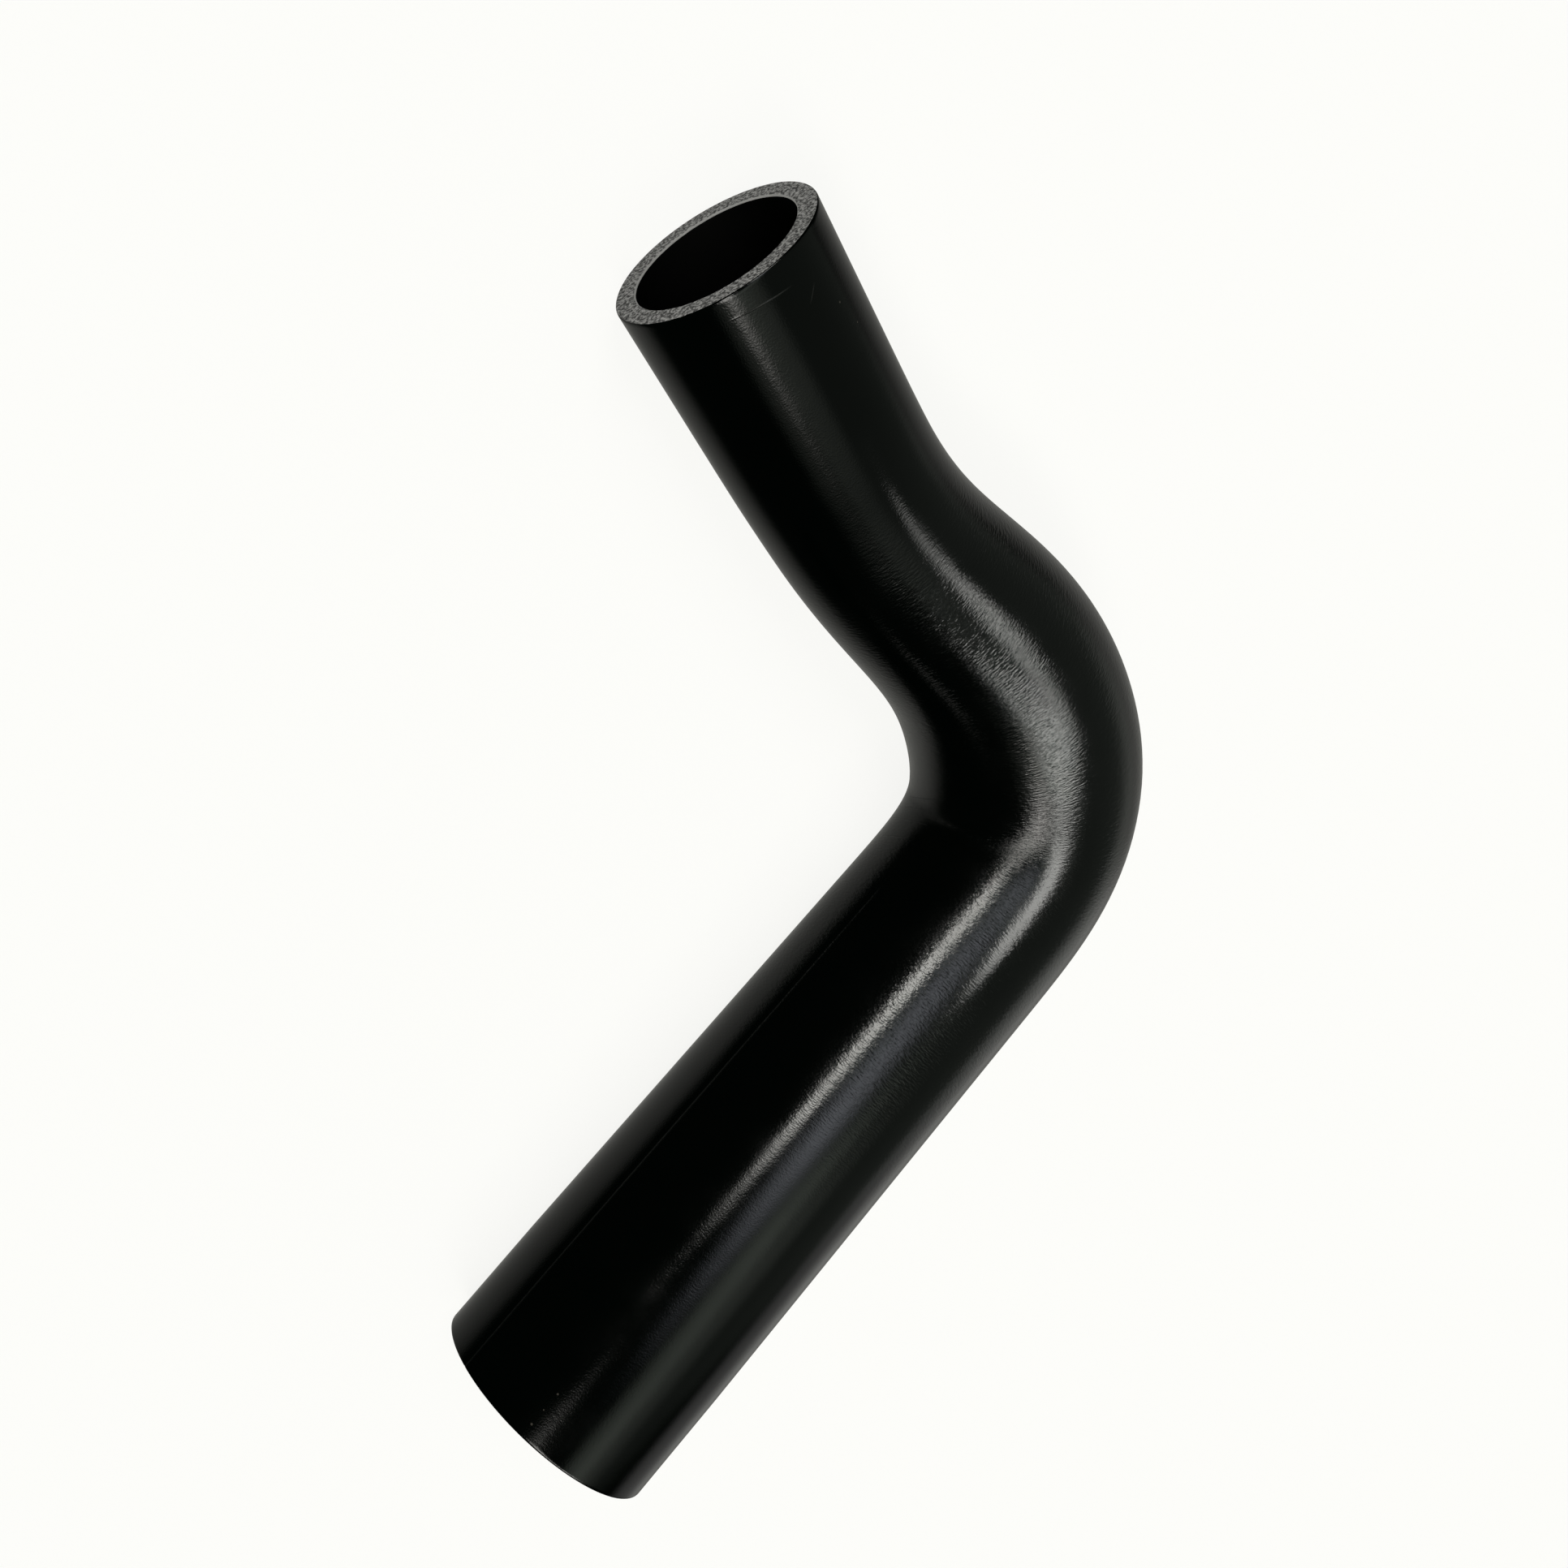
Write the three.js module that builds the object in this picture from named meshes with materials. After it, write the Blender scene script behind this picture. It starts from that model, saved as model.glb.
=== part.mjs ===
// Silicone reducing elbow hose for an engine bay, in millimetres with +Z up.
// One moulded tube with an even wall: a wide cuff and leg, a bend that is tight at first and then
// opens out, a reducer that narrows round the bend, and a narrow leg that kicks back a little.
// Its centreline lies in one plane. It is shaped there, starting at the wide mouth and heading
// along +X, and the finished tube is then laid on the floor as it comes to rest by itself.
import * as THREE from 'three';
import { ConvexHull } from 'three/addons/math/ConvexHull.js';

// Bores and wall
const WIDE_BORE = 60; // slips over the wide pipe
const BEND_BORE = 56.4; // the leg draws in to this before the reducer
const NARROW_BORE = 38; // slips over the narrow pipe
const WALL = 4.8;
const EDGE_ROUND = 0.5; // left on the rims of both cut ends

// Centreline, from the wide mouth to the narrow one
const CUFF_LENGTH = 38; // plain stretch under the wide clamp
const WIDE_LEG = 185.5; // from the wide mouth to the bend, cuff included
const TIGHT_THROAT = 9.3; // radius of the inside of the elbow, where the bend is tight
const TIGHT_ANGLE = 67.2;
const OPEN_THROAT = 56; // radius of the inside of the elbow, where the bend opens out
const OPEN_ANGLE = 31.4;
const NECK_LENGTH = 25; // straight, between the bend and the kick
const KICK_THROAT = 146; // radius of the inside of the kick, which turns the other way
const KICK_ANGLE = 13.8;
const NARROW_LEG = 55; // from the kick to the narrow mouth

// Reducer, measured along the centreline
const REDUCER_DELAY = 36.5; // from the start of the bend to the start of the reducer
const REDUCER_LENGTH = 125;

// Fineness of the facets
const SIDES = 48;
const EDGE_STEPS = 2;
const LARGEST_STEP = 17; // along the centreline
const LARGEST_TURN = 5; // degrees round a bend

const RUBBER = { color: 0x0c0c0d, roughness: 0.62, metalness: 0 };

const wideRadius = WIDE_BORE / 2 + WALL;
const bendRadius = BEND_BORE / 2 + WALL;
const narrowRadius = NARROW_BORE / 2 + WALL;

// Stretches of the centreline in order. A turn is in degrees, and is positive to the left.
function leg(length) {
  return { length, turn: 0, steps: Math.ceil(length / LARGEST_STEP) };
}

function bend(throat, tubeRadius, turn) {
  const length = (throat + tubeRadius) * Math.abs(THREE.MathUtils.degToRad(turn));
  const steps = Math.max(Math.ceil(Math.abs(turn) / LARGEST_TURN), Math.ceil(length / LARGEST_STEP));
  return { length, turn, steps };
}

const stretches = [
  leg(CUFF_LENGTH),
  leg(WIDE_LEG - CUFF_LENGTH),
  bend(TIGHT_THROAT, bendRadius, TIGHT_ANGLE),
  bend(OPEN_THROAT, bendRadius, OPEN_ANGLE),
  leg(NECK_LENGTH),
  bend(KICK_THROAT, narrowRadius, -KICK_ANGLE),
  leg(NARROW_LEG),
];
const hoseLength = stretches.reduce((sum, stretch) => sum + stretch.length, 0);

// Place and heading of the centreline at a distance from the wide mouth. A turning stretch is walked
// as the chord from its start, whose heading is the mean of the headings at its two ends.
function centrelineAt(distance) {
  const place = new THREE.Vector2();
  let heading = 0;
  let left = distance;
  for (const stretch of stretches) {
    const walked = Math.min(left, stretch.length);
    const turned = THREE.MathUtils.degToRad(stretch.turn) * (walked / stretch.length);
    const chord = turned === 0 ? walked : (walked * Math.sin(turned / 2)) / (turned / 2);
    const chordHeading = heading + turned / 2;
    place.x += chord * Math.cos(chordHeading);
    place.y += chord * Math.sin(chordHeading);
    heading += turned;
    left -= walked;
    if (left <= 0) break;
  }
  return { place, heading };
}

// Outside radius: even over the cuff, a slight draft down the leg, then the reducer's smooth step.
function outerRadiusAt(distance) {
  const reducerStart = WIDE_LEG + REDUCER_DELAY;
  const drafted = THREE.MathUtils.clamp((distance - CUFF_LENGTH) / (reducerStart - CUFF_LENGTH), 0, 1);
  const reduced = THREE.MathUtils.smoothstep(distance, reducerStart, reducerStart + REDUCER_LENGTH);
  const draftedRadius = THREE.MathUtils.lerp(wideRadius, bendRadius, drafted);
  return THREE.MathUtils.lerp(draftedRadius, narrowRadius, reduced);
}

// Distances at which the wall has a ring, from one rounded rim to the other.
function wallDistances() {
  const distances = [EDGE_ROUND];
  let start = 0;
  for (const stretch of stretches) {
    for (let step = 1; step <= stretch.steps; step++) {
      distances.push(start + (stretch.length * step) / stretch.steps);
    }
    start += stretch.length;
  }
  distances[distances.length - 1] = hoseLength - EDGE_ROUND;
  return distances;
}

// A quarter round on a rim, as rings at a distance and a radius. Angles are in degrees, with 0
// along the hose and 90 away from its centreline. The ring at firstAngle is left to the wall.
function rimRound(distance, radius, firstAngle) {
  const rings = [];
  for (let step = 1; step <= EDGE_STEPS; step++) {
    const angle = THREE.MathUtils.degToRad(firstAngle - (90 * step) / EDGE_STEPS);
    rings.push({
      distance: distance + EDGE_ROUND * Math.cos(angle),
      radius: radius + EDGE_ROUND * Math.sin(angle),
    });
  }
  return rings;
}

// The wall's section as one closed loop of rings: along the outside, over the narrow end's face,
// back through the bore, and over the wide end's face to the start.
function sectionRings() {
  const nearRim = EDGE_ROUND;
  const farRim = hoseLength - EDGE_ROUND;
  const farOuter = outerRadiusAt(hoseLength);
  const nearOuter = outerRadiusAt(0);
  const outside = wallDistances().map((distance) => ({ distance, radius: outerRadiusAt(distance) }));
  const bore = outside.map(({ distance, radius }) => ({ distance, radius: radius - WALL })).reverse();
  const farFace = [
    ...rimRound(farRim, farOuter - EDGE_ROUND, 90),
    { distance: hoseLength, radius: farOuter - WALL + EDGE_ROUND },
    ...rimRound(farRim, farOuter - WALL + EDGE_ROUND, 0).slice(0, -1),
  ];
  const nearFace = [
    ...rimRound(nearRim, nearOuter - WALL + EDGE_ROUND, -90),
    { distance: 0, radius: nearOuter - EDGE_ROUND },
    ...rimRound(nearRim, nearOuter - EDGE_ROUND, 180).slice(0, -1),
  ];
  return [...outside, ...farFace, ...bore, ...nearFace];
}

// The loop of rings swept round the centreline closes on itself both ways.
function hoseGeometry() {
  const rings = sectionRings();
  const positions = [];
  for (const { distance, radius } of rings) {
    const { place, heading } = centrelineAt(distance);
    for (let side = 0; side < SIDES; side++) {
      const angle = (2 * Math.PI * side) / SIDES;
      const outwards = radius * Math.cos(angle);
      positions.push(
        place.x - outwards * Math.sin(heading),
        place.y + outwards * Math.cos(heading),
        radius * Math.sin(angle),
      );
    }
  }
  const indices = [];
  for (let ring = 0; ring < rings.length; ring++) {
    const here = ring * SIDES;
    const next = ((ring + 1) % rings.length) * SIDES;
    for (let side = 0; side < SIDES; side++) {
      const beside = (side + 1) % SIDES;
      indices.push(here + side, here + beside, next + beside);
      indices.push(here + side, next + beside, next + side);
    }
  }
  const geometry = new THREE.BufferGeometry();
  geometry.setAttribute('position', new THREE.Float32BufferAttribute(positions, 3));
  geometry.setIndex(indices);
  geometry.computeVertexNormals();
  return geometry;
}

// Centre of mass of a closed mesh, from the pyramids between its triangles and the origin.
function massCentre(geometry) {
  const corners = [new THREE.Vector3(), new THREE.Vector3(), new THREE.Vector3()];
  const sum = new THREE.Vector3();
  const cross = new THREE.Vector3();
  let volume = 0;
  for (let first = 0; first < geometry.index.count; first += 3) {
    corners.forEach((corner, k) => {
      corner.fromBufferAttribute(geometry.attributes.position, geometry.index.getX(first + k));
    });
    const pyramid = corners[0].dot(cross.crossVectors(corners[1], corners[2])) / 6;
    volume += pyramid;
    corners.forEach((corner) => sum.addScaledVector(corner, pyramid / 4));
  }
  return sum.divideScalar(volume);
}

// Outward normal of the hull face that the hose comes to rest on when it is set down flat: the one
// that the line straight down from its centre of mass goes out through.
function restingNormal(geometry) {
  const corners = [];
  for (let k = 0; k < geometry.attributes.position.count; k++) {
    corners.push(new THREE.Vector3().fromBufferAttribute(geometry.attributes.position, k));
  }
  const hull = new ConvexHull().setFromPoints(corners);
  const centre = massCentre(geometry);
  let normal = new THREE.Vector3(0, 0, -1);
  for (let settle = 0; settle < 4; settle++) {
    let nearest = Infinity;
    let through = normal;
    for (const face of hull.faces) {
      const towards = face.normal.dot(normal);
      const distance = -face.distanceToPoint(centre) / towards;
      if (towards > 0 && distance < nearest) {
        nearest = distance;
        through = face.normal;
      }
    }
    normal = through.clone();
  }
  return normal;
}

// The hose turned so that its resting face is down, over the middle of the floor.
function layDown(mesh) {
  const down = new THREE.Vector3(0, 0, -1);
  mesh.quaternion.setFromUnitVectors(restingNormal(mesh.geometry), down);
  mesh.updateMatrixWorld(true);
  const box = new THREE.Box3().setFromObject(mesh, true);
  const middle = box.getCenter(new THREE.Vector3());
  mesh.position.set(-middle.x, -middle.y, -box.min.z);
}

const group = new THREE.Group();
const hose = new THREE.Mesh(hoseGeometry(), new THREE.MeshStandardMaterial(RUBBER));
hose.name = 'hose';
layDown(hose);
group.add(hose);

export default group;
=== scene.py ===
"""Looks for a moulded silicone reducing elbow hose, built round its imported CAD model.

The hose is one piece: a tube drawn out ring by ring along its centreline, given its wall, rounded at
both cut ends, scored along its mould line and laid on the floor as it comes to rest. It is lit by
soft far lights and by three oval lamps close above the bend, and seen from the photograph's viewing
angle. Every length is in metres.
"""

import logging
import math
from dataclasses import dataclass, field
from enum import Enum
from typing import Callable, Sequence, Union

import bpy
import numpy as np
from mathutils import Matrix, Vector

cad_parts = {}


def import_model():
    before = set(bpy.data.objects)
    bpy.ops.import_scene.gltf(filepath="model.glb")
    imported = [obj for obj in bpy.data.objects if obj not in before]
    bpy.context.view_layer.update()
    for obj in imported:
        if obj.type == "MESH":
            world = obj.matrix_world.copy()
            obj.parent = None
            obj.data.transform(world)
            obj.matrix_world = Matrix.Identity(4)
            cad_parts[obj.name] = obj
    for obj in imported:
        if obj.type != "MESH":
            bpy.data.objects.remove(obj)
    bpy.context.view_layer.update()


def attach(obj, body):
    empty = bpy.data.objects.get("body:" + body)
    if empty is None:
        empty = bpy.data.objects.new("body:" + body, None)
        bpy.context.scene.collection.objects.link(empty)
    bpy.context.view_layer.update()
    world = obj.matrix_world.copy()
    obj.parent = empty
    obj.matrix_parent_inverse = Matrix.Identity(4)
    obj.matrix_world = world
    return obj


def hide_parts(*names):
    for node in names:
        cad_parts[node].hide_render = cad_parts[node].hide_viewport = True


LOG = logging.getLogger("hose")
MM = 0.001
STRAIGHT = "straight"  # attribute: where a point would be if the hose were pulled straight
TOUCH = 0.01 * MM  # points nearer to a plane than this are on it
LEAST_TURN = 1e-7  # radians

Number = Union[int, float]
Range = tuple[float, float]
Colour = tuple[float, float, float]
NOISE_LEVELS: Range = (0.3, 0.7)  # most of a noise lies between these


class Surface(Enum):
    """The kinds of surface on the hose, in the order of its material slots."""

    OUTSIDE = 0
    CUT = 1
    BORE = 2


# Shader nodes


class Value:
    """A number on a shader socket that can be used in Python arithmetic."""

    def __init__(self, sheet: "Sheet", socket: bpy.types.NodeSocket) -> None:
        """Wraps a socket.

        Args:
            sheet: The node tree that new nodes are added to.
            socket: The output that carries the number.
        """
        self.sheet = sheet
        self.socket = socket

    def math(self, operation: str, *others: Union["Value", Number]) -> "Value":
        """Adds a Math node with this value as its first input.

        Args:
            operation: The Math node's operation.
            others: Its other inputs.

        Returns:
            The node's result.
        """
        return self.sheet.math(operation, self, *others)

    def __add__(self, other: Union["Value", Number]) -> "Value":
        """This value plus another."""
        return self.math("ADD", other)

    def __sub__(self, other: Union["Value", Number]) -> "Value":
        """This value less another."""
        return self.math("SUBTRACT", other)

    def __rsub__(self, other: Number) -> "Value":
        """A number less this value."""
        return self.sheet.math("SUBTRACT", other, self)

    def __mul__(self, other: Union["Value", Number]) -> "Value":
        """This value times another."""
        return self.math("MULTIPLY", other)

    def __truediv__(self, other: Union["Value", Number]) -> "Value":
        """This value over another."""
        return self.math("DIVIDE", other)

    def __abs__(self) -> "Value":
        """This value without its sign."""
        return self.math("ABSOLUTE")

    def rising(self, start: Number, end: Number, low: Number = 0.0, high: Number = 1.0) -> "Value":
        """A smooth step, which falls instead where start is above end.

        Args:
            start: The value at which the step starts.
            end: The value at which it ends.
            low: The result before the step.
            high: The result after it.

        Returns:
            The stepped value.
        """
        if start > end:
            start, end, low, high = end, start, high, low
        node = self.sheet.node(
            "ShaderNodeMapRange",
            {"interpolation_type": "SMOOTHSTEP"},
            {"Value": self, "From Min": start, "From Max": end, "To Min": low, "To Max": high},
        )
        return Value(self.sheet, node.outputs["Result"])


class Sheet:
    """A node tree that is being filled in."""

    def __init__(self, tree: bpy.types.NodeTree) -> None:
        """Empties the tree.

        Args:
            tree: The node tree of a material or a world.
        """
        self.tree = tree
        tree.nodes.clear()

    def node(self, kind: str, settings: dict[str, object], inputs: dict[str, object]) -> bpy.types.Node:
        """Adds a node.

        Args:
            kind: The node's type.
            settings: Properties that are set before the sockets, such as an operation.
            inputs: Values, sockets or Values by the name or number of the socket they go into.

        Returns:
            The new node.
        """
        node = self.tree.nodes.new(kind)
        for name, setting in settings.items():
            setattr(node, name, setting)
        for name, given in inputs.items():
            socket = node.inputs[name]
            if isinstance(given, Value):
                given = given.socket
            if isinstance(given, bpy.types.NodeSocket):
                self.tree.links.new(given, socket)
            else:
                socket.default_value = given
        return node

    def math(self, operation: str, *operands: Union[Value, Number]) -> Value:
        """Adds a Math node.

        Args:
            operation: The node's operation.
            operands: Its inputs in order.

        Returns:
            The node's result.
        """
        inputs = dict(enumerate(operands))
        return Value(self, self.node("ShaderNodeMath", {"operation": operation}, inputs).outputs[0])

    def vector(self, operation: str, *operands: object) -> bpy.types.NodeSocket:
        """Adds a Vector Math node.

        Args:
            operation: The node's operation.
            operands: Its inputs in order.

        Returns:
            The resulting vector.
        """
        inputs = dict(enumerate(operands))
        return self.node("ShaderNodeVectorMath", {"operation": operation}, inputs).outputs["Vector"]

    def dot(self, one: object, other: object) -> Value:
        """The dot product of two vectors, as a number."""
        node = self.node("ShaderNodeVectorMath", {"operation": "DOT_PRODUCT"}, {0: one, 1: other})
        return Value(self, node.outputs["Value"])

    def distance(self, one: object, other: object) -> Value:
        """The distance between two points."""
        node = self.node("ShaderNodeVectorMath", {"operation": "DISTANCE"}, {0: one, 1: other})
        return Value(self, node.outputs["Value"])

    def parts(self, vector: object) -> tuple[Value, Value, Value]:
        """The three numbers of a vector."""
        node = self.node("ShaderNodeSeparateXYZ", {}, {0: vector})
        return Value(self, node.outputs[0]), Value(self, node.outputs[1]), Value(self, node.outputs[2])

    def mix(self, share: object, one: object, other: object) -> bpy.types.NodeSocket:
        """Mixes two colours.

        Args:
            share: How much of the second colour there is.
            one: The first colour.
            other: The second colour.

        Returns:
            The mixed colour.
        """
        settings = {"data_type": "RGBA", "blend_type": "MIX"}
        node = self.node("ShaderNodeMix", settings, {0: share, 6: opaque(one), 7: opaque(other)})
        return node.outputs[2]

    def noise(self, place: object, size: float, detail: float = 2.0, rough: float = 0.5) -> Value:
        """Smooth noise from 0 to 1.

        Args:
            place: The coordinates.
            size: The size of its largest blobs, in the units of the coordinates.
            detail: How many finer layers it has.
            rough: How strong each finer layer is.

        Returns:
            The noise.
        """
        inputs = {"Vector": place, "Scale": 1.0 / size, "Detail": detail, "Roughness": rough}
        return Value(self, self.node("ShaderNodeTexNoise", {}, inputs).outputs["Fac"])


def opaque(colour: object) -> object:
    """A colour of three numbers gets its alpha; a socket stays as it is."""
    return (*colour, 1.0) if isinstance(colour, tuple) else colour


# Centreline


@dataclass(frozen=True)
class Stretch:
    """A straight or evenly curved stretch of the centreline."""

    length: float
    turn: float = 0.0  # degrees, positive to the left


@dataclass
class Centreline:
    """The path down the middle of the bore, in one plane, heading along +X at the wide mouth."""

    stretches: list[Stretch]
    ease: float = 70 * MM  # a bend comes in and goes out over this length
    ease_steps: int = 42
    fineness: float = 0.25 * MM
    distances: np.ndarray = field(init=False)
    headings: np.ndarray = field(init=False)
    places: np.ndarray = field(init=False)

    def __post_init__(self) -> None:
        """Works out the heading and the place all along the path."""
        steps = round(self.length / self.fineness)
        self.distances = np.linspace(0.0, self.length, steps + 1)
        joins = np.cumsum([0.0] + [stretch.length for stretch in self.stretches])
        turned = np.cumsum([0.0] + [math.radians(stretch.turn) for stretch in self.stretches])
        shares = np.linspace(-0.5, 0.5, self.ease_steps + 1)[1:-1]
        weights = np.cos(np.pi * shares) ** 2
        eased = [np.interp(self.distances + share * self.ease, joins, turned) for share in shares]
        self.headings = np.average(eased, axis=0, weights=weights)
        middles = (self.headings[1:] + self.headings[:-1]) / 2
        moves = np.stack([np.cos(middles), np.sin(middles)], axis=1) * self.length / steps
        self.places = np.vstack([(0.0, 0.0), np.cumsum(moves, axis=0)])

    @property
    def length(self) -> float:
        """The whole length."""
        return sum(stretch.length for stretch in self.stretches)

    def at(self, distance: float) -> tuple[Vector, float]:
        """Place and heading at a distance from the wide mouth.

        Args:
            distance: Metres along the centreline.

        Returns:
            The point, and the heading in radians.
        """
        x = float(np.interp(distance, self.distances, self.places[:, 0]))
        y = float(np.interp(distance, self.distances, self.places[:, 1]))
        return Vector((x, y, 0.0)), float(np.interp(distance, self.distances, self.headings))


# Edit-mode helpers


def deselect_all() -> None:
    """Leaves edit mode and deselects every object."""
    if bpy.context.mode != "OBJECT":
        bpy.ops.object.mode_set(mode="OBJECT")
    bpy.ops.object.select_all(action="DESELECT")


def pick_edges(piece: bpy.types.Object, wanted: Callable[[Vector, Vector], bool]) -> int:
    """Selects edges by the places of their two ends, and nothing else.

    Args:
        piece: The object, in edit mode.
        wanted: Says whether an edge between two points is selected.

    Returns:
        How many edges are selected.
    """
    bpy.ops.mesh.select_mode(type="EDGE")
    bpy.ops.mesh.select_all(action="DESELECT")
    bpy.ops.object.mode_set(mode="OBJECT")
    mesh = piece.data
    count = 0
    for edge in mesh.edges:
        one, other = (mesh.vertices[k].co for k in edge.vertices)
        edge.select = wanted(one, other)
        count += edge.select
    bpy.ops.object.mode_set(mode="EDIT")
    return count


# The hose


@dataclass
class Hose:
    """The moulded tube, in one piece."""

    wide_bore: float = 60 * MM
    bend_bore: float = 56.4 * MM
    narrow_bore: float = 38 * MM
    wall: float = 4.8 * MM
    edge_round: float = 0.5 * MM
    cuff_length: float = 32.2 * MM
    wide_leg: float = 194.3 * MM
    tight_radius: float = 27.92 * MM  # of the centreline, before it is eased
    tight_angle: float = 59.05
    open_radius: float = 86.26 * MM
    open_angle: float = 41.7
    neck_length: float = 23.0 * MM
    kick_radius: float = 123.3 * MM
    kick_angle: float = 16.11
    narrow_leg: float = 62.3 * MM
    reducer_start: float = 221.4 * MM
    reducer_length: float = 126.6 * MM
    sides: int = 128
    ring_gap: float = 2.5 * MM
    line_width: float = 0.9 * MM  # mould line along the inside of the bend
    line_depth: float = 0.13 * MM
    line_end: float = 166 * MM
    smooth_angle: float = 35.0  # degrees between faces, up to which an edge is shaded smooth
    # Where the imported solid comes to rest
    rest_tilt: tuple[float, float, float] = (-3.0392, 0.2162, 0.0057)
    rest_place: tuple[float, float, float] = (-130.7822 * MM, -80.6869 * MM, 34.9399 * MM)
    path: Centreline = field(init=False)
    piece: bpy.types.Object = field(init=False)

    def __post_init__(self) -> None:
        """Works out the centreline."""
        self.path = Centreline([
            Stretch(self.wide_leg),
            self.bend(self.tight_radius, self.tight_angle),
            self.bend(self.open_radius, self.open_angle),
            Stretch(self.neck_length),
            self.bend(self.kick_radius, -self.kick_angle),
            Stretch(self.narrow_leg),
        ])

    @staticmethod
    def bend(radius: float, turn: float) -> Stretch:
        """A stretch of the centreline with a radius, and a turn in degrees."""
        return Stretch(radius * abs(math.radians(turn)), turn)

    @property
    def wide_radius(self) -> float:
        """Outside radius of the wide cuff."""
        return self.wide_bore / 2 + self.wall

    @property
    def bend_radius(self) -> float:
        """Outside radius at the start of the reducer."""
        return self.bend_bore / 2 + self.wall

    @property
    def narrow_radius(self) -> float:
        """Outside radius of the narrow leg."""
        return self.narrow_bore / 2 + self.wall

    def radius_at(self, distance: float) -> float:
        """Outside radius at a distance from the wide mouth.

        Args:
            distance: Metres along the centreline.

        Returns:
            The radius, with the leg's slight draft and the reducer's smooth step.
        """
        drafted = (distance - self.cuff_length) / (self.reducer_start - self.cuff_length)
        drafted = min(max(drafted, 0.0), 1.0)
        reduced = min(max((distance - self.reducer_start) / self.reducer_length, 0.0), 1.0)
        reduced = reduced * reduced * (3 - 2 * reduced)
        leg = self.wide_radius + (self.bend_radius - self.wide_radius) * drafted
        return leg + (self.narrow_radius - leg) * reduced

    def build(self) -> bpy.types.Object:
        """Models the hose and lays it on the floor.

        Returns:
            The finished piece.
        """
        self.draw_tube()
        self.score_mould_line()
        self.thicken()
        self.round_rims()
        self.assign_surfaces()
        self.record_straight()
        self.lay_down()
        return self.piece

    def draw_tube(self) -> None:
        """Draws the outer skin out of a circle, one ring at a time along the centreline."""
        deselect_all()
        bpy.ops.mesh.primitive_circle_add(
            vertices=self.sides, radius=self.wide_radius, fill_type="NOTHING",
            location=(0.0, 0.0, 0.0), rotation=(0.0, math.pi / 2, 0.0),
        )
        self.piece = bpy.context.object
        self.piece.name = "silicone_hose"
        self.piece.data.name = "silicone_hose"
        bpy.ops.object.transform_apply(location=True, rotation=True, scale=True)
        bpy.ops.object.mode_set(mode="EDIT")
        bpy.ops.mesh.select_all(action="SELECT")
        stations = self.ring_stations()
        for before, here in zip(stations, stations[1:]):
            old_place, old_heading = self.path.at(before)
            place, heading = self.path.at(here)
            growth = self.radius_at(here) / self.radius_at(before)
            step = tuple(place - old_place)
            bpy.ops.mesh.extrude_edges_move(TRANSFORM_OT_translate={"value": step})
            if abs(heading - old_heading) > LEAST_TURN:
                bpy.ops.transform.rotate(
                    value=old_heading - heading, orient_axis="Z", center_override=tuple(place),
                )
            if growth != 1.0:
                bpy.ops.transform.resize(value=(growth,) * 3, center_override=tuple(place))
        bpy.ops.object.mode_set(mode="OBJECT")

    def ring_stations(self) -> list[float]:
        """Distances along the centreline at which the skin has a ring.

        Returns:
            Evenly spaced distances, and one close to each rim that keeps its shading from spreading.
        """
        length = self.path.length
        rings = round(length / self.ring_gap)
        even = [length * ring / rings for ring in range(rings + 1)]
        return sorted(even + [2 * self.edge_round, length - 2 * self.edge_round])

    def score_mould_line(self) -> None:
        """Cuts the mould line, a shallow groove along the inside of the wide leg."""
        bpy.ops.object.mode_set(mode="EDIT")

        def on_line(one: Vector, other: Vector) -> bool:
            """Whether an edge lies along the inside of the wide leg."""
            level = abs(one.z) < TOUCH and abs(other.z) < TOUCH
            inside = one.y > 0 and other.y > 0
            return level and inside and max(one.x, other.x) < self.line_end

        pick_edges(self.piece, on_line)
        bpy.ops.mesh.bevel(offset=self.line_width / 2, segments=2, profile=0.5, affect="EDGES")
        pick_edges(self.piece, on_line)
        bpy.ops.transform.translate(value=(0.0, -self.line_depth, 0.0))
        bpy.ops.object.mode_set(mode="OBJECT")

    def thicken(self) -> None:
        """Gives the skin its wall, inwards, with a flat cut face at each end."""
        deselect_all()
        self.piece.select_set(True)
        bpy.context.view_layer.objects.active = self.piece
        bpy.ops.object.mode_set(mode="EDIT")
        bpy.ops.mesh.select_all(action="SELECT")
        bpy.ops.mesh.normals_make_consistent(inside=False)
        bpy.ops.object.mode_set(mode="OBJECT")
        if self.faces_inwards():
            bpy.ops.object.mode_set(mode="EDIT")
            bpy.ops.mesh.flip_normals()
            bpy.ops.object.mode_set(mode="OBJECT")
        wall = self.piece.modifiers.new("wall", "SOLIDIFY")
        wall.thickness = self.wall
        wall.offset = -1.0
        wall.use_even_offset = True
        bpy.ops.object.modifier_apply(modifier="wall")

    def faces_inwards(self) -> bool:
        """Whether the skin's faces point at the centreline."""
        lean = 0.0
        for face in self.piece.data.polygons:
            if face.center.x < self.wide_leg and abs(face.center.y) < self.wide_radius:
                lean += face.normal.y * face.center.y + face.normal.z * face.center.z
        return lean < 0.0

    def round_rims(self) -> None:
        """Rounds the four rims of the two cut ends."""
        end, heading = self.path.at(self.path.length)
        ahead = Vector((math.cos(heading), math.sin(heading), 0.0))

        def at_wide_end(point: Vector) -> bool:
            """Whether a point is in the wide mouth's plane."""
            return abs(point.x) < TOUCH

        def at_narrow_end(point: Vector) -> bool:
            """Whether a point is in the narrow mouth's plane."""
            return abs((point - end).dot(ahead)) < TOUCH

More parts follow.
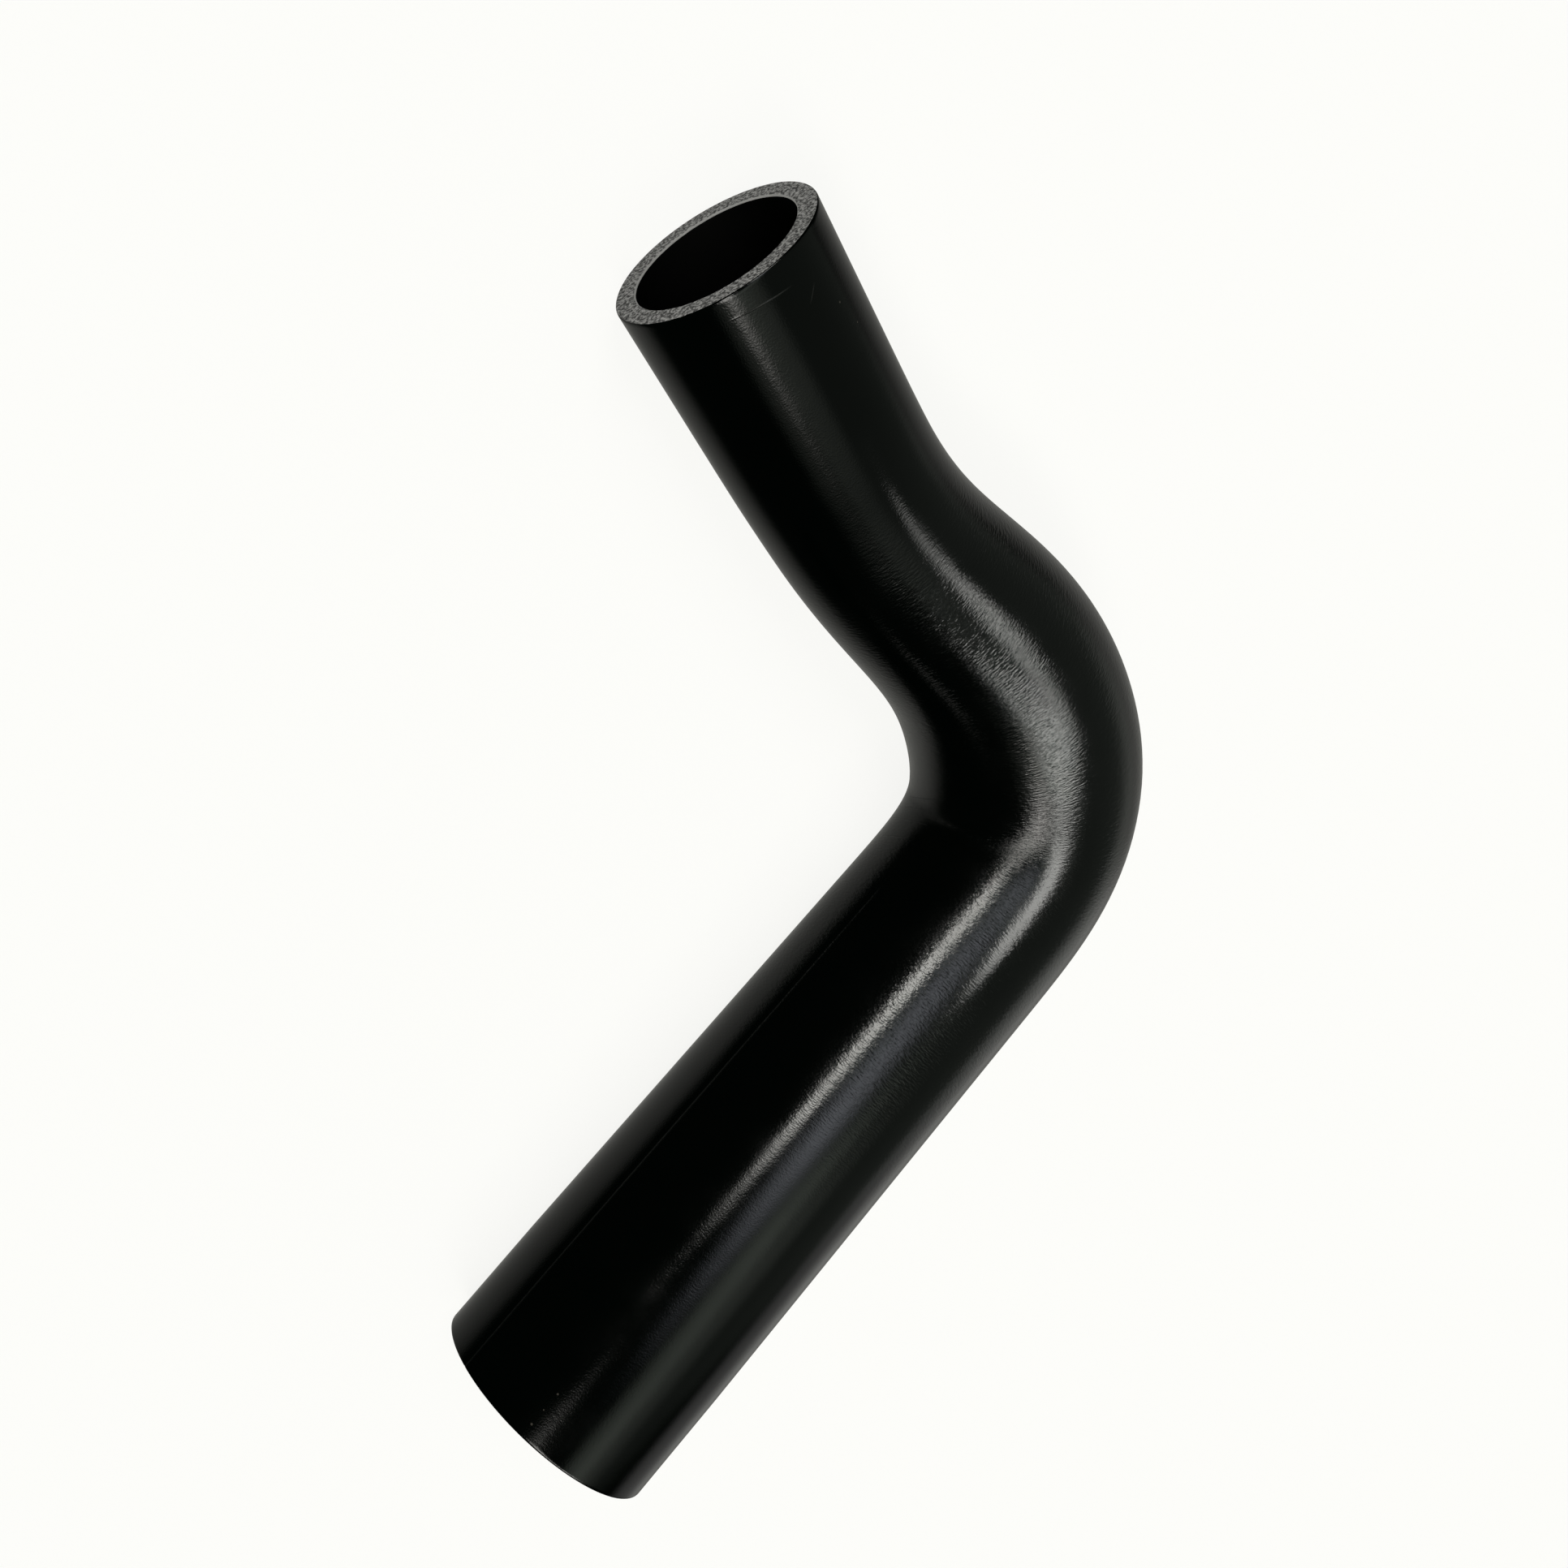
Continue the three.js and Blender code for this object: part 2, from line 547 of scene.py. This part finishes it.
        def on_rim(one: Vector, other: Vector) -> bool:
            """Whether an edge runs round one of the four rims."""
            wide = at_wide_end(one) and at_wide_end(other)
            narrow = at_narrow_end(one) and at_narrow_end(other)
            return (wide or narrow) and (one - other).length < self.wall / 2

        bpy.ops.object.mode_set(mode="EDIT")
        LOG.info("rim edges: %d", pick_edges(self.piece, on_rim))
        bpy.ops.mesh.bevel(offset=self.edge_round, segments=3, profile=0.5, affect="EDGES")
        bpy.ops.object.mode_set(mode="OBJECT")

    def straightened(self, points: np.ndarray) -> np.ndarray:
        """Where points would be if the hose were pulled straight along +X.

        Args:
            points: Points in the hose's own frame, one a row.

        Returns:
            For each, its distance along the centreline, its distance to the inside of the bend,
            and its height.
        """
        path = self.path
        straight = np.empty_like(points)
        for row, point in enumerate(points):
            offsets = point[:2] - path.places
            nearest = int(np.argmin((offsets ** 2).sum(axis=1)))
            heading = path.headings[nearest]
            along = offsets[nearest] @ (math.cos(heading), math.sin(heading))
            across = offsets[nearest] @ (-math.sin(heading), math.cos(heading))
            straight[row] = (path.distances[nearest] + along, across, point[2])
        return straight

    def mesh_points(self) -> np.ndarray:
        """The mesh's points, one a row."""
        points = np.empty(len(self.piece.data.vertices) * 3)
        self.piece.data.vertices.foreach_get("co", points)
        return points.reshape(-1, 3)

    def record_straight(self) -> None:
        """Keeps each point's place on the straightened hose, for the finishes to follow."""
        straight = self.straightened(self.mesh_points())
        attribute = self.piece.data.attributes.new(STRAIGHT, "FLOAT_VECTOR", "POINT")
        attribute.data.foreach_set("vector", straight.astype(np.float32).ravel())

    def assign_surfaces(self) -> None:
        """Gives each face its kind of surface: outside, cut or bore."""
        mesh = self.piece.data
        for surface in Surface:
            mesh.materials.append(bpy.data.materials.new("hose_" + surface.name.lower()))
        centres = np.array([tuple(face.center) for face in mesh.polygons])
        straight = self.straightened(centres)
        for face, (along, across, up) in zip(mesh.polygons, straight):
            depth = self.radius_at(along) - math.hypot(across, up)
            to_end = min(along, self.path.length - along)
            inner = depth > self.wall / 2
            on_cut = to_end < self.edge_round / 8
            # the lip's faces take the cut finish, which paints a highlight on them
            on_lip = inner and to_end < self.edge_round
            if on_cut or on_lip:
                face.material_index = Surface.CUT.value
            elif inner:
                face.material_index = Surface.BORE.value
            else:
                face.material_index = Surface.OUTSIDE.value

    def lay_down(self) -> None:
        """Lays the hose on the floor as it comes to rest, with its place in its mesh."""
        deselect_all()
        self.piece.select_set(True)
        bpy.context.view_layer.objects.active = self.piece
        self.piece.rotation_euler = [math.radians(angle) for angle in self.rest_tilt]
        self.piece.location = self.rest_place
        bpy.ops.object.transform_apply(location=True, rotation=True, scale=True)
        bpy.ops.object.shade_smooth_by_angle(angle=math.radians(self.smooth_angle))

    def dress(self, finishes: dict[Surface, "Finish"]) -> None:
        """Gives each kind of surface its finish.

        Args:
            finishes: The finish of each surface.
        """
        for surface, finish in finishes.items():
            finish.fill(self.piece.data.materials[surface.value])


# Finishes


@dataclass(frozen=True)
class Finish:
    """A surface's colour and gloss; the kinds of finish add their own detail."""

    colour: Colour
    roughness: float
    refraction: float = 1.45

    def fill(self, material: bpy.types.Material) -> None:
        """Fills a material with nodes.

        Args:
            material: The material to fill.
        """
        material.use_nodes = True
        sheet = Sheet(material.node_tree)
        varying = self.detail(sheet)
        inputs: dict[str, object] = {
            "Base Color": opaque(self.colour),
            "Roughness": self.roughness,
            "IOR": self.refraction,
        }
        inputs.update(varying)
        sheet.node("ShaderNodeOutputMaterial", {}, {"Surface": self.surface(sheet, inputs)})

    def surface(self, sheet: Sheet, inputs: dict[str, object]) -> bpy.types.NodeSocket:
        """The shader of the surface.

        Args:
            sheet: The material's nodes.
            inputs: Values and links by the name of the shader's socket.

        Returns:
            The shader's output.
        """
        return sheet.node("ShaderNodeBsdfPrincipled", {}, inputs).outputs[0]

    def detail(self, sheet: Sheet) -> dict[str, object]:
        """What varies over the surface.

        Args:
            sheet: The material's nodes.

        Returns:
            Links by the name of the shader's socket.
        """
        return {}

    @staticmethod
    def straight(sheet: Sheet) -> bpy.types.NodeSocket:
        """The place on the straightened hose."""
        node = sheet.node("ShaderNodeAttribute", {"attribute_name": STRAIGHT}, {})
        return node.outputs["Vector"]

    @staticmethod
    def bump(sheet: Sheet, height: Value, strength: float) -> bpy.types.NodeSocket:
        """A Bump node on a height in metres.

        Args:
            sheet: The material's nodes.
            height: The height.
            strength: How strongly it shows.

        Returns:
            The bumped normal.
        """
        inputs = {"Height": height, "Strength": strength, "Distance": 1.0}
        return sheet.node("ShaderNodeBump", {}, inputs).outputs["Normal"]


@dataclass(frozen=True)
class Crease:
    """A fine line pressed into the skin, mostly round the hose."""

    start: float  # distance along the hose where it meets, or would meet, the inside of the bend
    lean: float  # distance along the hose for each radian round it
    curl: float  # and for each radian squared
    first: float  # degrees round the hose from the inside of the bend, 90 on top
    last: float
    width: float = 0.5 * MM
    fade: float = 6.0  # degrees over which its ends fade
    radius: float = 33 * MM  # of the hose there

    def mask(self, along: Value, angle: Value) -> Value:
        """How deep the line is, from 0 to 1.

        Args:
            along: Distance along the hose.
            angle: Radians round the hose from the inside of the bend.

        Returns:
            The depth.
        """
        middle = angle * angle * self.curl + angle * self.lean + self.start
        slope = (angle * (2 * self.curl) + self.lean) / self.radius
        aside = abs(along - middle) / (slope * slope + 1.0).math("SQRT")
        line = aside.rising(self.width / 2, 0.0)
        first, last, fade = (math.radians(turn) for turn in (self.first, self.last, self.fade))
        return line * angle.rising(first, first + fade) * angle.rising(last, last - fade)


@dataclass(frozen=True)
class Speck:
    """A speck of dust on the skin."""

    along: float
    turn: float  # degrees round the hose
    radius: float  # of the hose there
    size: float = 0.7 * MM

    def mask(self, sheet: Sheet, place: object) -> Value:
        """How much of the skin it covers, from 0 to 1.

        Args:
            sheet: The material's nodes.
            place: The place on the straightened hose.

        Returns:
            The cover.
        """
        angle = math.radians(self.turn)
        middle = (self.along, self.radius * math.cos(angle), self.radius * math.sin(angle))
        return sheet.distance(place, middle).rising(self.size / 2, self.size / 5)


CREASES = (
    Crease(start=195.8 * MM, lean=16.9 * MM, curl=10.3 * MM, first=-48.0, last=0.0),
    Crease(start=221.8 * MM, lean=80.5 * MM, curl=64.8 * MM, first=-42.0, last=1.0, width=0.42 * MM),
    Crease(start=234.2 * MM, lean=26.7 * MM, curl=-39.8 * MM, first=-36.0, last=8.0, width=0.35 * MM),
    Crease(start=186.4 * MM, lean=16.7 * MM, curl=12.0 * MM, first=-40.0, last=-7.0, width=0.35 * MM),
)
WRAP_EDGE = Crease(
    start=403.2 * MM, lean=-2.04 * MM, curl=0.0, first=52.0, last=92.0, width=0.45 * MM,
    fade=14.0, radius=23.8 * MM,
)
SCUFF = Crease(
    start=361.3 * MM, lean=20.0 * MM, curl=0.0, first=94.0, last=103.0, width=0.4 * MM,
    fade=3.0, radius=23.8 * MM,
)
SPECKS = (
    Speck(along=13.7 * MM, turn=41.4, radius=34.8 * MM),
    Speck(along=8.6 * MM, turn=41.2, radius=34.8 * MM, size=0.5 * MM),
    Speck(along=4.1 * MM, turn=41.2, radius=34.8 * MM, size=0.8 * MM),
    Speck(along=389.6 * MM, turn=111.7, radius=23.8 * MM, size=0.6 * MM),
    Speck(along=383.1 * MM, turn=117.2, radius=23.8 * MM, size=0.5 * MM),
)


@dataclass(frozen=True)
class MouldedRubber(Finish):
    """Satin black silicone: smooth on the legs, with the wrap's fine cross grain round the bend."""

    grain_length: float = 1.7 * MM
    grain_pitch: float = 0.5 * MM
    grain_height: float = 0.075 * MM
    grain_roughness: float = 0.15
    grain_start: Range = (85 * MM, 145 * MM)  # the grain comes in along this stretch
    grain_end: Range = (350 * MM, 315 * MM)
    plain_grain: float = 0.12  # share of the grain's height on the legs
    pore_size: float = 0.38 * MM
    pore_height: float = 0.018 * MM
    ripple_size: float = 4 * MM
    ripple_height: float = 0.014 * MM
    smear_size: float = 14 * MM
    smear: Range = (-0.02, 0.03)  # added to the roughness
    crease_depth: float = 0.1 * MM
    wrap_height: float = 0.04 * MM
    scuff_cover: float = 0.4
    dull_gloss: float = 0.35  # of the legs' ends, where 0.5 is the gloss of the polished bend
    polish_start: Range = (20 * MM, 100 * MM)
    polish_end: Range = (372 * MM, 322 * MM)
    dust: Colour = (0.05, 0.045, 0.038)
    scuffed: Colour = (0.03, 0.03, 0.029)

    def detail(self, sheet: Sheet) -> dict[str, object]:
        """The grain, creases, scuffs and dust.

        Args:
            sheet: The material's nodes.

        Returns:
            Base Color, Roughness and Normal.
        """
        place = self.straight(sheet)
        along, across, up = sheet.parts(place)
        angle = sheet.math("ARCTAN2", up, across)
        grained = along.rising(*self.grain_start) * along.rising(*self.grain_end)
        height = self.grain(sheet, place) * (grained * (1 - self.plain_grain) + self.plain_grain)
        height = height + sheet.noise(place, self.pore_size, 1.0) * self.pore_height
        height = height + sheet.noise(place, self.ripple_size, 1.0) * self.ripple_height
        for crease in CREASES:
            height = height - crease.mask(along, angle) * self.crease_depth
        smear = sheet.noise(place, self.smear_size, 3.0).rising(*NOISE_LEVELS, *self.smear)
        roughness = grained * (self.grain_roughness - self.roughness) + self.roughness + smear
        line = WRAP_EDGE.mask(along, angle)
        scuff = line + SCUFF.mask(along, angle) * self.scuff_cover
        height = height + line * self.wrap_height
        colour = sheet.mix(scuff.math("MINIMUM", 1.0), self.colour, self.scuffed)
        dusty: Value = SPECKS[0].mask(sheet, place)
        for speck in SPECKS[1:]:
            dusty = dusty + speck.mask(sheet, place)
        colour = sheet.mix(dusty.math("MINIMUM", 1.0), colour, self.dust)
        return {"Base Color": colour, "Roughness": roughness, "Normal": self.bump(sheet, height, 1.0)}

    def surface(self, sheet: Sheet, inputs: dict[str, object]) -> bpy.types.NodeSocket:
        """Polished silicone round the bend, and duller silicone towards both ends.

        Args:
            sheet: The material's nodes.
            inputs: Values and links by the name of the shader's socket.

        Returns:
            The mixed shader's output.
        """
        along = sheet.parts(self.straight(sheet))[0]
        polish = along.rising(*self.polish_start) * along.rising(*self.polish_end)
        polished = super().surface(sheet, inputs)
        dull = super().surface(sheet, {**inputs, "Specular IOR Level": self.dull_gloss})
        return sheet.node("ShaderNodeMixShader", {}, {0: polish, 1: dull, 2: polished}).outputs[0]

    def grain(self, sheet: Sheet, place: object) -> Value:
        """The height of the fine strokes that run round the hose.

        Args:
            sheet: The material's nodes.
            place: The place on the straightened hose.

        Returns:
            The height.
        """
        stretched = sheet.vector("MULTIPLY", place, (self.grain_length / self.grain_pitch, 1.0, 1.0))
        return sheet.noise(stretched, self.grain_length, 1.0) * self.grain_height


@dataclass(frozen=True)
class CutRubber(Finish):
    """The matt, torn face that the knife leaves, with a painted highlight at the bore: its rounded lip
    is coloured paler in place of the light it catches.
    """

    pale: Colour = (0.3, 0.3, 0.29)
    # painted highlight: a pale colour on the rounded lip at the bore, standing in for the light that
    # edge catches
    painted_lip_highlight: Colour = (0.34, 0.34, 0.33)
    tear_size: float = 0.75 * MM
    tear_depth: float = 0.25 * MM
    tear_levels: Range = (0.4, 0.64)  # of the noise, from dark to pale
    # how far into the bore the painted lip highlight comes in, from the cut face
    lip_highlight_depth: Range = (0.03 * MM, 0.2 * MM)  # into the bore
    hose_length: float = field(kw_only=True)

    def detail(self, sheet: Sheet) -> dict[str, object]:
        """Pale torn specks, and the painted highlight on the lip at the bore.

        Args:
            sheet: The material's nodes.

        Returns:
            Base Color and Normal.
        """
        place = self.straight(sheet)
        tears = sheet.noise(place, self.tear_size, 3.0, 0.6)
        colour = sheet.mix(tears.rising(*self.tear_levels), self.colour, self.pale)
        along = sheet.parts(place)[0]
        to_end = along.math("MINIMUM", self.hose_length - along)
        # painted highlight: the lip at the bore is made paler in place of the light its rounded edge
        # catches
        colour = sheet.mix(to_end.rising(*self.lip_highlight_depth), colour, self.painted_lip_highlight)
        return {"Base Color": colour, "Normal": self.bump(sheet, tears * self.tear_depth, 1.0)}


@dataclass(frozen=True)
class BoreRubber(Finish):
    """The smooth dark inside of the tube."""

    smear_size: float = 9 * MM
    smear: float = 0.05  # taken from the roughness or added to it

    def detail(self, sheet: Sheet) -> dict[str, object]:
        """A slight unevenness.

        Args:
            sheet: The material's nodes.

        Returns:
            Roughness.
        """
        smear = sheet.noise(self.straight(sheet), self.smear_size, 3.0)
        smoothest, roughest = self.roughness - self.smear, self.roughness + self.smear
        return {"Roughness": smear.rising(*NOISE_LEVELS, smoothest, roughest)}


# Stage, light and camera

WIDEST = 85.0  # degrees from a softbox's middle to where it has faded out, at most


def towards(azimuth: float, elevation: float) -> Vector:
    """The direction at an azimuth, from +Y towards +X, and an elevation, in degrees."""
    around, up = math.radians(azimuth), math.radians(elevation)
    return Vector((math.sin(around) * math.cos(up), math.cos(around) * math.cos(up), math.sin(up)))


@dataclass(frozen=True)
class Softbox:
    """A lit patch of the surroundings, far away, with soft edges."""

    azimuth: float  # degrees from +Y towards +X
    elevation: float
    half_width: float  # degrees
    half_height: float
    edge: float  # degrees over which it fades out
    strength: float
    tint: Colour = (1.0, 1.0, 1.0)
    turn: float = 0.0  # degrees about its own middle

    def axes(self) -> tuple[Vector, Vector, Vector]:
        """Directions to its middle, to its right and up."""
        middle = towards(self.azimuth, self.elevation)
        right = towards(self.azimuth + 90.0, 0.0)
        upwards = right.cross(middle)
        spin = Matrix.Rotation(math.radians(self.turn), 3, middle)
        return middle, spin @ right, spin @ upwards

    def glow(self, sheet: Sheet, direction: object) -> Value:
        """How bright it is in a direction.

        Args:
            sheet: The world's nodes.
            direction: The direction looked in.

        Returns:
            Its brightness.
        """
        middle, right, upwards = self.axes()
        ahead = sheet.dot(direction, tuple(middle))
        level = ahead.math("MAXIMUM", 0.02)  # keeps the tangents finite
        across = abs(sheet.dot(direction, tuple(right)) / level)
        along = abs(sheet.dot(direction, tuple(upwards)) / level)
        wide = across.rising(*self.fade(self.half_width))
        tall = along.rising(*self.fade(self.half_height))
        return wide * tall * ahead.rising(0.0, 0.05) * self.strength

    def fade(self, half: float) -> Range:
        """Where a side fades out, as tangents of the angle from its middle."""
        outer = math.tan(math.radians(min(half + self.edge / 2, WIDEST)))
        inner = math.tan(math.radians(max(half - self.edge / 2, 0.0)))
        return outer, inner


@dataclass(frozen=True)
class CurvedLight:
    """A lit band of the surroundings that bends round a direction, as a ring lamp does."""

    radius: float  # degrees from the ring's middle
    half_width: float
    edge: float  # degrees over which its sides fade out
    bearing: float  # of the band's own middle, from +Y towards +X
    half_span: float
    fade: float  # degrees over which its ends fade out
    strength: float
    tint: Colour = (1.0, 1.0, 1.0)
    azimuth: float = 50.7  # of the ring's middle
    elevation: float = 80.5

    def axes(self) -> tuple[Vector, Vector, Vector]:
        """Directions to the ring's middle, and from there along the bearing and aside of it."""
        middle = towards(self.azimuth, self.elevation)
        east = (Vector((1.0, 0.0, 0.0)) - middle.x * middle).normalized()
        north = middle.cross(east)
        turn = math.radians(self.bearing)
        ahead = math.cos(turn) * north + math.sin(turn) * east
        aside = math.cos(turn) * east - math.sin(turn) * north
        return middle, ahead, aside

    def glow(self, sheet: Sheet, direction: object) -> Value:
        """How bright it is in a direction.

        Args:
            sheet: The world's nodes.
            direction: The direction looked in.

        Returns:
            Its brightness.
        """
        middle, ahead, aside = self.axes()
        off = sheet.dot(direction, tuple(middle)).math("ARCCOSINE")
        away = abs(off - math.radians(self.radius))
        forward = sheet.dot(direction, tuple(ahead))
        turn = abs(sheet.math("ARCTAN2", sheet.dot(direction, tuple(aside)), forward))
        band = away.rising(*self.limits(self.half_width, self.edge))
        span = turn.rising(*self.limits(self.half_span, self.fade))
        return band * span * self.strength

    @staticmethod
    def limits(half: float, edge: float) -> Range:
        """Where a side fades out, in radians from the middle."""
        return math.radians(half + edge / 2), math.radians(max(half - edge / 2, 0.0))


@dataclass(frozen=True)
class Lamp:
    """A soft oval lamp hung close above the hose, face down, which only shines on what is glossy."""

    place: tuple[float, float, float]
    half_length: float
    half_width: float
    turn: float  # degrees of its length from +X
    strength: float
    tint: Colour = (1.0, 1.0, 0.96)
    core: float = 0.2  # share of its radius that is lit in full

    def build(self) -> bpy.types.Object:
        """Hangs the lamp.

        Returns:
            The lamp.
        """
        deselect_all()
        bpy.ops.object.light_add(
            type="AREA", location=self.place, rotation=(0.0, 0.0, math.radians(self.turn)),
        )
        lamp = bpy.context.object
        lamp.name = "lamp"
        data = lamp.data
        data.shape = "RECTANGLE"
        data.size = 2 * self.half_length
        data.size_y = 2 * self.half_width
        data.energy = self.strength * math.pi * data.size * data.size_y
        data.color = self.tint
        data.use_nodes = True
        sheet = Sheet(data.node_tree)
        across, along, _ = sheet.parts(sheet.node("ShaderNodeNewGeometry", {}, {}).outputs["Parametric"])
        across = across - 0.5
        along = along - 0.5
        outline = 0.5 ** 2  # squared distance from the middle, in the lamp's own coordinates
        glow = (across * across + along * along).rising(outline, outline * self.core ** 2)
        emission = sheet.node("ShaderNodeEmission", {}, {"Strength": glow})
        sheet.node("ShaderNodeOutputLight", {}, {"Surface": emission.outputs[0]})
        lamp.visible_camera = False
        lamp.visible_diffuse = False
        return lamp


@dataclass
class Studio:
    """The light: a pale floor's glow from below, soft lights, and darkness between them."""

    lights: Sequence[Union[Softbox, CurvedLight]]
    lamps: Sequence[Lamp]
    darkness: float = 0.005
    backdrop: Colour = (0.965, 0.965, 0.94)

    def light(self) -> None:
        """Lights the scene through its world and its lamps."""
        for lamp in self.lamps:
            lamp.build()
        world = bpy.data.worlds.new("studio")
        bpy.context.scene.world = world
        world.use_nodes = True
        sheet = Sheet(world.node_tree)
        direction = sheet.node("ShaderNodeTexCoord", {}, {}).outputs["Generated"]
        total: object = (self.darkness,) * 3
        for light in self.lights:
            glow = light.glow(sheet, direction)
            lit = sheet.node(
                "ShaderNodeVectorMath", {"operation": "SCALE"}, {0: light.tint, "Scale": glow},
            )
            total = sheet.vector("ADD", total, lit.outputs["Vector"])
        seen = sheet.node("ShaderNodeLightPath", {}, {}).outputs["Is Camera Ray"]
        colour = sheet.mix(seen, total, self.backdrop)
        background = sheet.node("ShaderNodeBackground", {}, {"Color": colour, "Strength": 1.0})
        sheet.node("ShaderNodeOutputWorld", {}, {"Surface": background.outputs[0]})
        bpy.context.scene.view_settings.view_transform = "Standard"


@dataclass
class Floor:
    """The plain pale floor that the hose lies on."""

    half_width: float = 3.0
    colour: Colour = (0.11, 0.11, 0.107)
    glow: float = 0.893
    glow_colour: Colour = (1.0, 1.0, 0.975)

    def build(self) -> bpy.types.Object:
        """Makes the floor.

        Returns:
            The floor.
        """
        deselect_all()
        bpy.ops.mesh.primitive_plane_add(size=2 * self.half_width, location=(0.0, 0.0, 0.0))
        floor = bpy.context.object
        floor.name = "floor"
        material = bpy.data.materials.new("pale_floor")
        material.use_nodes = True
        sheet = Sheet(material.node_tree)
        shader = sheet.node("ShaderNodeBsdfPrincipled", {}, {
            "Base Color": opaque(self.colour),
            "Roughness": 0.9,
            "Specular IOR Level": 0.0,
            "Emission Color": opaque(self.glow_colour),
            "Emission Strength": self.glow,
        })
        sheet.node("ShaderNodeOutputMaterial", {}, {"Surface": shader.outputs[0]})
        floor.data.materials.append(material)
        floor.visible_glossy = False
        return floor


@dataclass
class Viewpoint:
    """The camera at the photograph's viewing angle, rolled as the photograph is."""

    place: tuple[float, float, float] = (-6.359 * MM, 244.043 * MM, 278.208 * MM)
    right: tuple[float, float, float] = (0.658, -0.48257, 0.57806)
    up: tuple[float, float, float] = (0.74329, 0.53924, -0.39592)
    lens: float = 31.677
    film: float = 36.0

    def build(self) -> bpy.types.Object:
        """Makes the camera and gives it to the scene.

        Returns:
            The camera.
        """
        camera = bpy.data.objects.new("camera", bpy.data.cameras.new("camera"))
        bpy.context.scene.collection.objects.link(camera)
        right = Vector(self.right).normalized()
        up = Vector(self.up)
        back = right.cross(up).normalized()
        turned = Matrix((right, back.cross(right), back)).transposed()
        camera.matrix_world = Matrix.Translation(self.place) @ turned.to_4x4()
        camera.data.lens = self.lens
        camera.data.sensor_width = self.film
        camera.data.sensor_fit = "HORIZONTAL"
        camera.data.clip_start = 0.01
        bpy.context.scene.camera = camera
        return camera


LIGHTS = (
    Softbox(
        azimuth=163.5, elevation=-49.8, half_width=45.5, half_height=64.4, edge=30.0,
        strength=0.25, tint=(1.0, 1.0, 0.93), turn=-15.0,
    ),
    Softbox(
        azimuth=8.0, elevation=68.5, half_width=11.0, half_height=2.5, edge=22.0,
        strength=2.6, tint=(0.93, 0.97, 1.05), turn=69.6,
    ),
    Softbox(
        azimuth=-176.8, elevation=9.2, half_width=19.6, half_height=19.6, edge=12.0,
        strength=0.3, tint=(1.0, 1.0, 0.97), turn=8.4,
    ),
    Softbox(
        azimuth=139.0, elevation=52.0, half_width=41.0, half_height=44.0, edge=10.0,
        strength=0.15, tint=(0.9, 1.0, 0.88),
    ),
    Softbox(
        azimuth=-113.0, elevation=74.0, half_width=8.0, half_height=15.0, edge=12.0,
        strength=0.8, tint=(0.9, 1.0, 0.86),
    ),
    Softbox(
        azimuth=-126.0, elevation=59.0, half_width=22.0, half_height=9.0, edge=14.0,
        strength=0.4, tint=(0.93, 1.0, 0.88), turn=54.0,
    ),
    CurvedLight(
        radius=44.5, half_width=5.0, edge=8.0, bearing=-82.0, half_span=36.0, fade=24.0,
        strength=10.0, tint=(1.0, 0.98, 0.93),
    ),
    CurvedLight(
        radius=37.8, half_width=3.8, edge=6.5, bearing=11.0, half_span=24.0, fade=14.0,
        strength=15.0, tint=(1.0, 0.99, 0.94),
    ),
)
LAMPS = (
    Lamp(
        place=(75 * MM, -63 * MM, 125 * MM), half_length=46 * MM, half_width=12.5 * MM,
        turn=11.0, strength=9.0,
    ),
    Lamp(
        place=(116 * MM, -38 * MM, 140 * MM), half_length=33 * MM, half_width=14 * MM,
        turn=40.0, strength=6.6,
    ),
    Lamp(
        place=(117 * MM, -11 * MM, 140 * MM), half_length=14 * MM, half_width=17 * MM,
        turn=60.0, strength=2.8,
    ),
)


def main() -> None:
    """Builds the scene."""
    logging.basicConfig(level=logging.INFO, format="%(name)s: %(message)s")
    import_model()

    hose = Hose()
    piece = hose.build()
    hose.dress({
        Surface.OUTSIDE: MouldedRubber(colour=(0.0003, 0.0008, 0.0005), roughness=0.12),
        Surface.CUT: CutRubber(
            colour=(0.03, 0.03, 0.029), roughness=0.75, hose_length=hose.path.length,
        ),
        Surface.BORE: BoreRubber(colour=(0.0005, 0.0006, 0.0005), roughness=0.6, refraction=1.15),
    })
    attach(piece, "root")
    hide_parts("hose")
    LOG.info("%s: %d faces", piece.name, len(piece.data.polygons))

    floor = Floor().build()
    LOG.info("%s: stage", floor.name)
    Studio(LIGHTS, LAMPS).light()
    camera = Viewpoint().build()
    LOG.info("%s: %.1f mm lens", camera.name, camera.data.lens)


if __name__ == "__main__":
    main()
